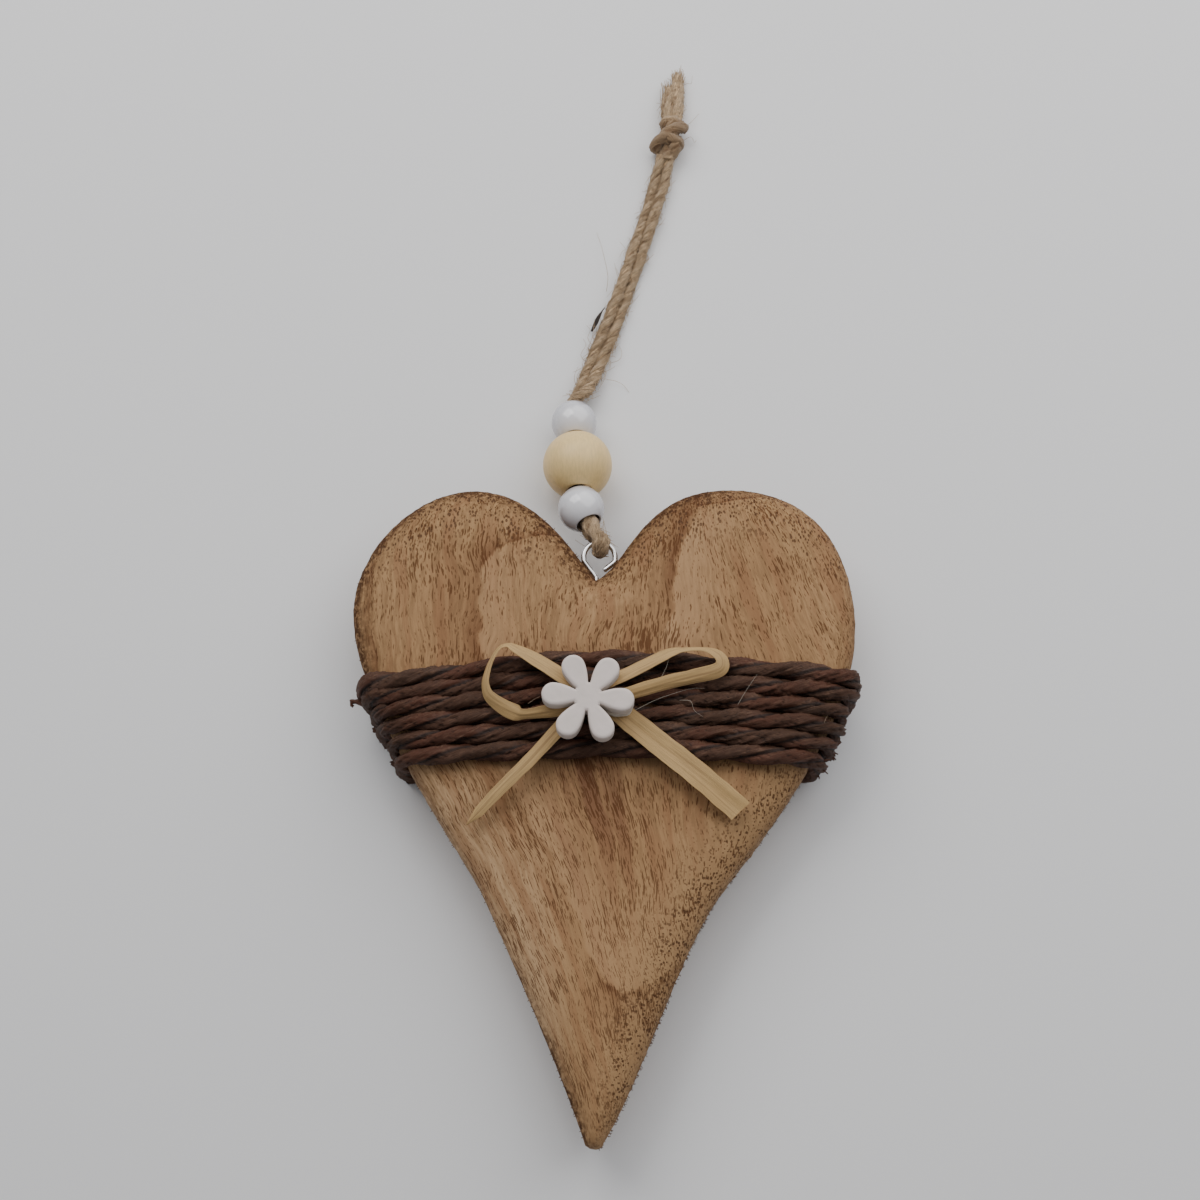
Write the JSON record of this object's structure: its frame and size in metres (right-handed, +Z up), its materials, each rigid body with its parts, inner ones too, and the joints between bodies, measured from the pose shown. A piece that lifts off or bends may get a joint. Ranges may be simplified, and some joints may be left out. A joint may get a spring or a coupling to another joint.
{
  "type": "wooden heart wall decor",
  "caption": "Long wooden heart with a paper cord winding, a raffia bow, a white wooden flower and a jute hanging cord with beads, lying on its back.",
  "frame": {"origin": "below the middle of the heart, on the surface that the ornament lies on", "axes": "+Z up, away from the surface; +Y from the heart's tip to the lobes and the cord; +X to the right"},
  "size_m": [0.1052, 0.2459, 0.0295],
  "materials": {
    "heart_wood": "bare light wood with brown pores and a scorched edge",
    "eye_steel": "bright plated steel wire",
    "bead_white": "white gloss lacquer on wood",
    "bead_natural": "satin bare wood",
    "jute": "hairy twisted jute",
    "wrap_paper": "dark brown twisted paper, slight sheen",
    "raffia": "matte pale raffia with lengthwise fibres",
    "flower_paint": "matte white paint on wood"
  },
  "bodies": {
    "root": {"wooden_heart": "heart_wood", "screw_eye": "eye_steel", "bead_lower_white": "bead_white", "bead_middle_natural": "bead_natural", "bead_upper_white": "bead_white", "jute_loop": "jute", "jute_knot": "jute", "jute_tail_left": "jute", "jute_tail_right": "jute", "paper_cord_wrap": "wrap_paper", "raffia_bow": "raffia", "wooden_flower": "flower_paint"}
  },
  "joints": []
}
